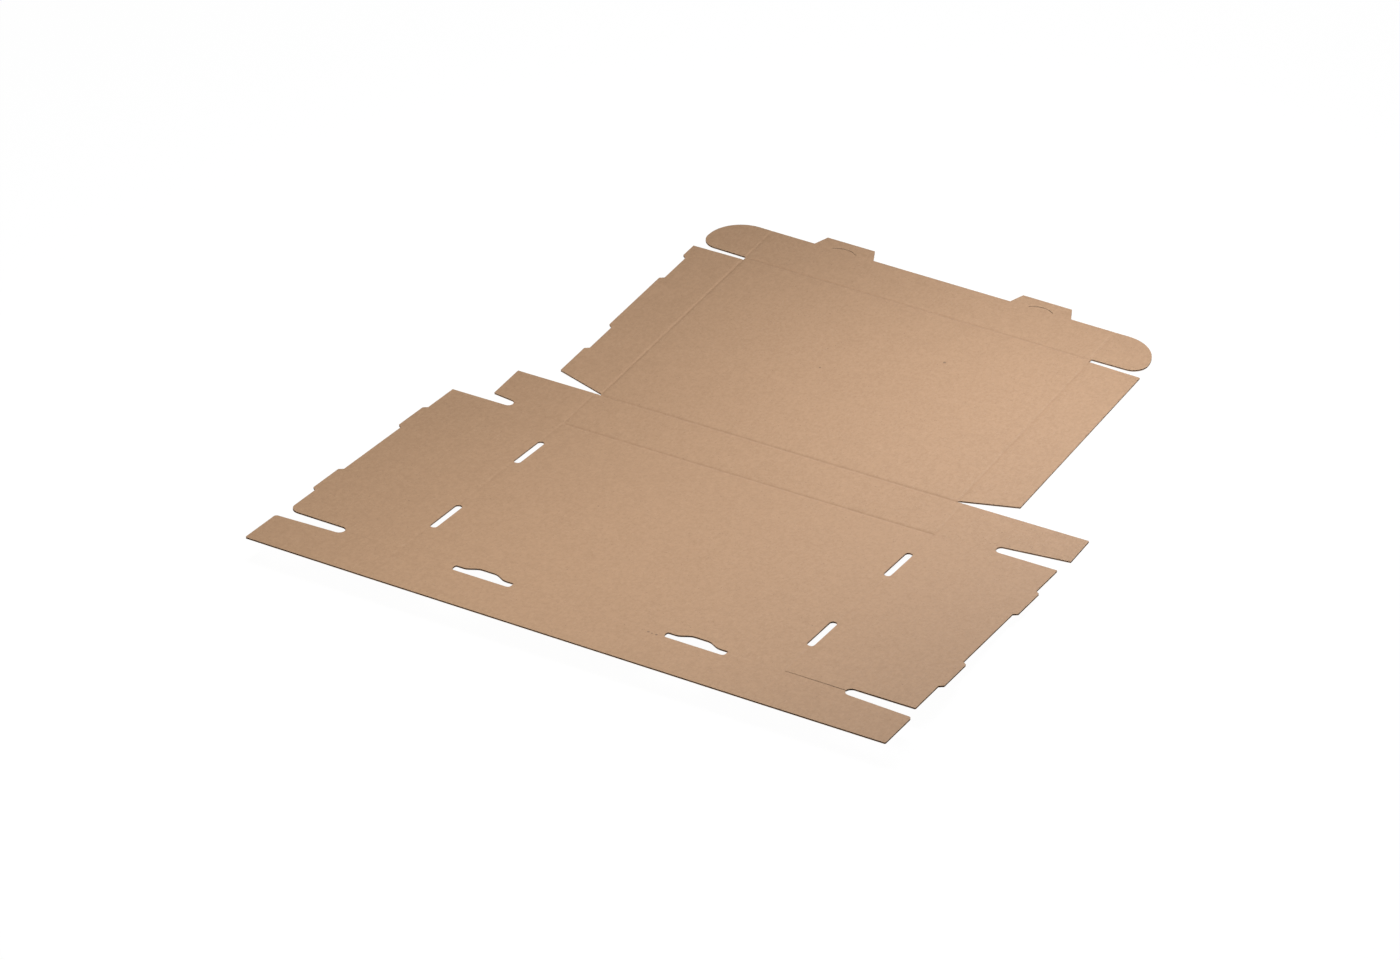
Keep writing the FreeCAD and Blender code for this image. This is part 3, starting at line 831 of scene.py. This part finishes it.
@dataclass(frozen=True)
class KraftLiner:
    """Brown kraft liner: fibre flecks, cloudy tone, faint lines over the waves, and painted shade and
    painted highlight along the creases.

    Attributes:
        name: material's name.
        tone: main colour, linear.
        dark: colour of darker fibres and clouds, and of the painted shade in the creases.
        pale: colour of pale fibres, and of the painted highlight on the creases' shoulders.
        pitch: length of one wave of the board, m.
        marks: small dark specks and nicks, each a place seen from above and a size, m.
    """

    name: str = "kraft_liner"
    tone: tuple[float, float, float, float] = (0.366, 0.221, 0.123, 1.0)
    dark: tuple[float, float, float, float] = (0.262, 0.151, 0.078, 1.0)
    pale: tuple[float, float, float, float] = (0.455, 0.312, 0.203, 1.0)
    pitch: float = 0.0033
    marks: tuple[tuple[float, float, float], ...] = (
        (0.0635, 0.212, 0.0010), (-0.027, 0.151, 0.0008),
        (0.058, -0.299, 0.0008), (0.0615, -0.2996, 0.0006),
        (0.0655, -0.2996, 0.0008), (-0.079, -0.143, 0.0005),
    )

    def make(self) -> bpy.types.Material:
        """Builds the material.

        Returns:
            The material.
        """
        n = Nodes(self.name)
        clouds = n.ramp(n.noise(6.0, 2.0), 0.3, 0.7, 0.0, 0.07)
        colour = n.blend(clouds, self.tone, self.dark)
        mottle = n.ramp(n.noise(90.0, 4.0, 0.65), 0.35, 0.7, 0.0, 0.16)
        colour = n.blend(mottle, colour, self.dark)
        pulp = n.ramp(n.noise(330.0, 3.0, 0.65, (1.0, 0.7, 1.0)), 0.36, 0.66, 0.0, 0.34)
        colour = n.blend(pulp, colour, self.dark)
        fibres = [
            (260.0, (1.0, 7.0, 1.0), 0.35, 0.0), (300.0, (1.0, 8.0, 1.0), -0.5, 3.0),
            (240.0, (7.0, 1.0, 1.0), 0.2, 7.0), (280.0, (1.0, 9.0, 1.0), 1.2, 11.0),
        ]
        fleck: bpy.types.NodeSocket | None = None
        for scale, stretch, turn, shift in fibres:
            one = n.ramp(n.noise(scale, 1.0, 0.4, stretch, turn, shift), 0.66, 0.74)
            fleck = one if fleck is None else n.maths("MAXIMUM", fleck, one)
        colour = n.blend(n.maths("MULTIPLY", fleck, 0.28), colour, self.pale)
        shade = n.ramp(n.noise(230.0, 1.0, 0.4, (1.0, 8.0, 1.0), 0.9, 21.0), 0.68, 0.76, 0.0, 0.4)
        colour = n.blend(shade, colour, self.dark)
        specks = n.ramp(n.noise(900.0, 0.0, 0.5, shift=5.0), 0.79, 0.83, 0.0, 0.55)
        colour = n.blend(specks, colour, (0.12, 0.07, 0.04, 1.0))
        level = n.add("ShaderNodeVectorMath", operation="MULTIPLY")
        n.feed(level.inputs[0], n.coords)
        level.inputs[1].default_value = (1.0, 1.0, 0.0)
        for x, y, size in self.marks:
            near = n.add("ShaderNodeVectorMath", operation="DISTANCE")
            n.feed(near.inputs[0], level.outputs["Vector"])
            near.inputs[1].default_value = (x, y, 0.0)
            rough_size = n.maths("MULTIPLY", n.noise(1400.0, 1.0), size * 1.6)
            dot = n.maths("SUBTRACT", near.outputs["Value"], rough_size)
            colour = n.blend(n.ramp(dot, 0.0, size, 0.75, 0.0), colour, (0.13, 0.075, 0.045, 1.0))
        split = n.add("ShaderNodeSeparateXYZ")
        n.feed(split.inputs[0], n.coords)
        wobble = n.maths("MULTIPLY", n.noise(14.0, 1.0), 0.0009)
        along = n.maths("ADD", split.outputs["X"], wobble)
        phase = n.maths("MULTIPLY", along, 2 * math.pi / self.pitch)
        wave = n.maths("SINE", phase)
        line_strength = n.ramp(n.noise(16.0, 2.0, 0.6, shift=9.0), 0.35, 0.7, 0.25, 1.0)
        lines = n.maths("MULTIPLY", wave, line_strength)
        colour = n.blend(n.maths("MULTIPLY_ADD", lines, 0.03, 0.03), colour, self.dark)
        press = n.add("ShaderNodeAttribute", attribute_name="press").outputs["Fac"]
        # Painted shade: the liner gets darker where a crease presses its face deeper.
        colour = n.blend(n.ramp(press, 0.08, 0.5, 0.0, 0.25), colour, self.dark)
        # Painted highlight: the liner gets paler on the raised shoulders beside each crease.
        colour = n.blend(n.ramp(press, -0.11, -0.02, 0.5, 0.0), colour, self.pale)
        n.feed(n.shader.inputs["Base Color"], colour)
        rough = n.ramp(n.noise(500.0, 2.0), 0.3, 0.7, 0.71, 0.80)
        n.feed(n.shader.inputs["Roughness"], rough)
        n.shader.inputs["Specular IOR Level"].default_value = 0.62
        soft = n.bump(n.noise(32.0, 3.0, 0.55), 0.00022)
        waves = n.bump(lines, 0.000012, 1.0, soft)
        grain = n.bump(n.noise(1500.0, 3.0, 0.65), 0.00003, 0.8, waves)
        fibre = n.bump(fleck, 0.00002, 0.6, grain)
        n.feed(n.shader.inputs["Normal"], fibre)
        return n.material


@dataclass(frozen=True)
class CutEdge:
    """Raw cut edge of a paper layer: paler and rougher than the liner's face."""

    name: str = "cut_edge"
    tone: tuple[float, float, float, float] = (0.50, 0.35, 0.235, 1.0)
    dark: tuple[float, float, float, float] = (0.30, 0.19, 0.115, 1.0)

    def make(self) -> bpy.types.Material:
        """Builds the material.

        Returns:
            The material.
        """
        n = Nodes(self.name)
        colour = n.blend(n.ramp(n.noise(700.0, 3.0, 0.6), 0.35, 0.75, 0.0, 0.6), self.tone, self.dark)
        n.feed(n.shader.inputs["Base Color"], colour)
        n.shader.inputs["Roughness"].default_value = 0.95
        n.shader.inputs["Specular IOR Level"].default_value = 0.15
        n.feed(n.shader.inputs["Normal"], n.bump(n.noise(2200.0, 2.0), 0.00004))
        return n.material


@dataclass(frozen=True)
class FlutePaper:
    """The darker, softer paper of the waved middle sheet."""

    name: str = "flute_paper"
    tone: tuple[float, float, float, float] = (0.36, 0.235, 0.145, 1.0)
    dark: tuple[float, float, float, float] = (0.24, 0.15, 0.09, 1.0)

    def make(self) -> bpy.types.Material:
        """Builds the material.

        Returns:
            The material.
        """
        n = Nodes(self.name)
        colour = n.blend(n.ramp(n.noise(500.0, 3.0, 0.6), 0.35, 0.75, 0.0, 0.6), self.tone, self.dark)
        n.feed(n.shader.inputs["Base Color"], colour)
        n.shader.inputs["Roughness"].default_value = 0.95
        n.shader.inputs["Specular IOR Level"].default_value = 0.15
        return n.material


@dataclass
class Carton:
    """The whole carton: its two liners and the waved sheet between them, with their papers."""

    board: Board = field(default_factory=Board)
    liner: KraftLiner = field(default_factory=KraftLiner)
    edge: CutEdge = field(default_factory=CutEdge)
    flute: FlutePaper = field(default_factory=FlutePaper)

    def build(self) -> list[bpy.types.Object]:
        """Builds and dresses every layer, inside liner first.

        Returns:
            The pieces.
        """
        flat = self.board.sheet()
        liner, edge, flute = self.liner.make(), self.edge.make(), self.flute.make()
        made = []
        for face in Face:
            piece = self.board.build_liner(face, flat)
            piece.data.materials.append(liner)
            piece.data.materials.append(edge)
            made.append(piece)
        waved = self.board.build_flutes()
        waved.data.materials.append(flute)
        made.append(waved)
        for piece in made:
            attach(piece, "root")
            mesh = piece.data
            LOG.info("%s: %d points, %d faces", piece.name, len(mesh.vertices), len(mesh.polygons))
        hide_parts("box_blank")
        return made


@dataclass
class Studio:
    """White table, soft lamps and the camera of the photograph.

    Attributes:
        azimuth: camera's direction about z, degrees.
        elevation: camera's height angle, degrees.
        focal: focal length in pixels of a frame 1400 wide.
        distance: from the camera to the point it looks at, m.
        target: the point it looks at, m.
    """

    azimuth: float = 29.194
    elevation: float = 32.673
    focal: float = 4812.4
    distance: float = 4.0432
    target: tuple[float, float, float] = (-0.03309, -0.05225, 0.0)

    def camera(self) -> None:
        """Creates the camera: looking along the azimuth, down by the elevation, with no roll."""
        az, el = math.radians(self.azimuth), math.radians(self.elevation)
        ahead = Vector((-math.sin(az) * math.cos(el), math.cos(az) * math.cos(el), -math.sin(el)))
        data = bpy.data.cameras.new("camera")
        data.sensor_width = 36.0
        data.lens = self.focal / 1400.0 * 36.0
        data.clip_end = 60.0
        camera = bpy.data.objects.new("camera", data)
        camera.location = Vector(self.target) - ahead * self.distance
        camera.rotation_euler = ahead.to_track_quat("-Z", "Y").to_euler()
        bpy.context.scene.collection.objects.link(camera)
        bpy.context.scene.camera = camera

    def lamp(self, name: str, place: tuple[float, float, float], size: float, power: float,
             tint: tuple[float, float, float] = (1.0, 1.0, 1.0)) -> None:
        """Adds a square soft lamp that looks at the carton.

        Args:
            name: lamp's name.
            place: position, m.
            size: side of the square, m.
            power: watts.
            tint: colour of the light.
        """
        data = bpy.data.lights.new(name, "AREA")
        data.shape = "SQUARE"
        data.size = size
        data.energy = power
        data.color = tint
        lamp = bpy.data.objects.new(name, data)
        lamp.location = place
        lamp.visible_camera = False
        lamp.rotation_euler = (-Vector(place)).to_track_quat("-Z", "Y").to_euler()
        bpy.context.scene.collection.objects.link(lamp)

    def table(self) -> None:
        """A wide plain table, near white, which still takes the carton's shadow."""
        x, y = np.meshgrid(np.linspace(-15, 15, 3), np.linspace(-15, 15, 3))
        co = np.column_stack([x.ravel(), y.ravel(), np.full(9, -0.0002)])
        quads = np.array([(0, 1, 4, 3), (1, 2, 5, 4), (3, 4, 7, 6), (4, 5, 8, 7)])
        faces = np.vstack([quads[:, [0, 1, 2]], quads[:, [0, 2, 3]]])
        floor = make_mesh("table", co, faces, np.zeros(len(faces), int))
        n = Nodes("white_table")
        n.shader.inputs["Base Color"].default_value = (0.93, 0.93, 0.93, 1.0)
        n.shader.inputs["Roughness"].default_value = 0.9
        glow = n.add("ShaderNodeEmission")
        glow.inputs["Color"].default_value = (1.0, 1.0, 1.0, 1.0)
        glow.inputs["Strength"].default_value = 1.03
        path = n.add("ShaderNodeLightPath")
        seen = n.maths("MAXIMUM", path.outputs["Is Camera Ray"], path.outputs["Is Glossy Ray"])
        mix = n.add("ShaderNodeMixShader")
        n.feed(mix.inputs[0], n.maths("MULTIPLY", seen, 0.95))
        n.feed(mix.inputs[1], n.shader.outputs[0])
        n.feed(mix.inputs[2], glow.outputs[0])
        output = n.tree.nodes["Material Output"]
        n.feed(output.inputs["Surface"], mix.outputs[0])
        floor.data.materials.append(n.material)

    def build(self) -> None:
        """Sets up the table, the lamps, the world's light and the camera."""
        self.table()
        self.lamp("front_lamp", (-0.08, -0.414, 0.8), 0.3, 6.6)
        self.lamp("lid_lamp", (0.249, 0.293, 0.5), 0.25, 3.65, (0.96, 1.0, 1.08))
        self.lamp("low_lamp", (0.8, 2.6, 0.6), 0.4, 14.0)
        world = bpy.data.worlds.new("studio")
        world.use_nodes = True
        back = world.node_tree.nodes["Background"]
        back.inputs["Color"].default_value = (1.0, 1.0, 1.0, 1.0)
        back.inputs["Strength"].default_value = 0.10
        bpy.context.scene.world = world
        bpy.context.scene.view_settings.view_transform = "Standard"
        self.camera()
        LOG.info("studio: camera at %.2f m", self.distance)


def corners(bounds: object) -> list[list[float]]:
    """The two corners of a box as plain lists of numbers.

    Args:
        bounds: lower and upper corner, m.

    Returns:
        The same corners as lists.
    """
    return [[float(value) for value in corner] for corner in bounds]


def main() -> None:
    """Builds the carton and the studio."""
    logging.basicConfig(level=logging.INFO, format="%(name)s: %(message)s")
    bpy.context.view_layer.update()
    Carton().build()
    Studio().build()


if __name__ == "__main__":
    main()
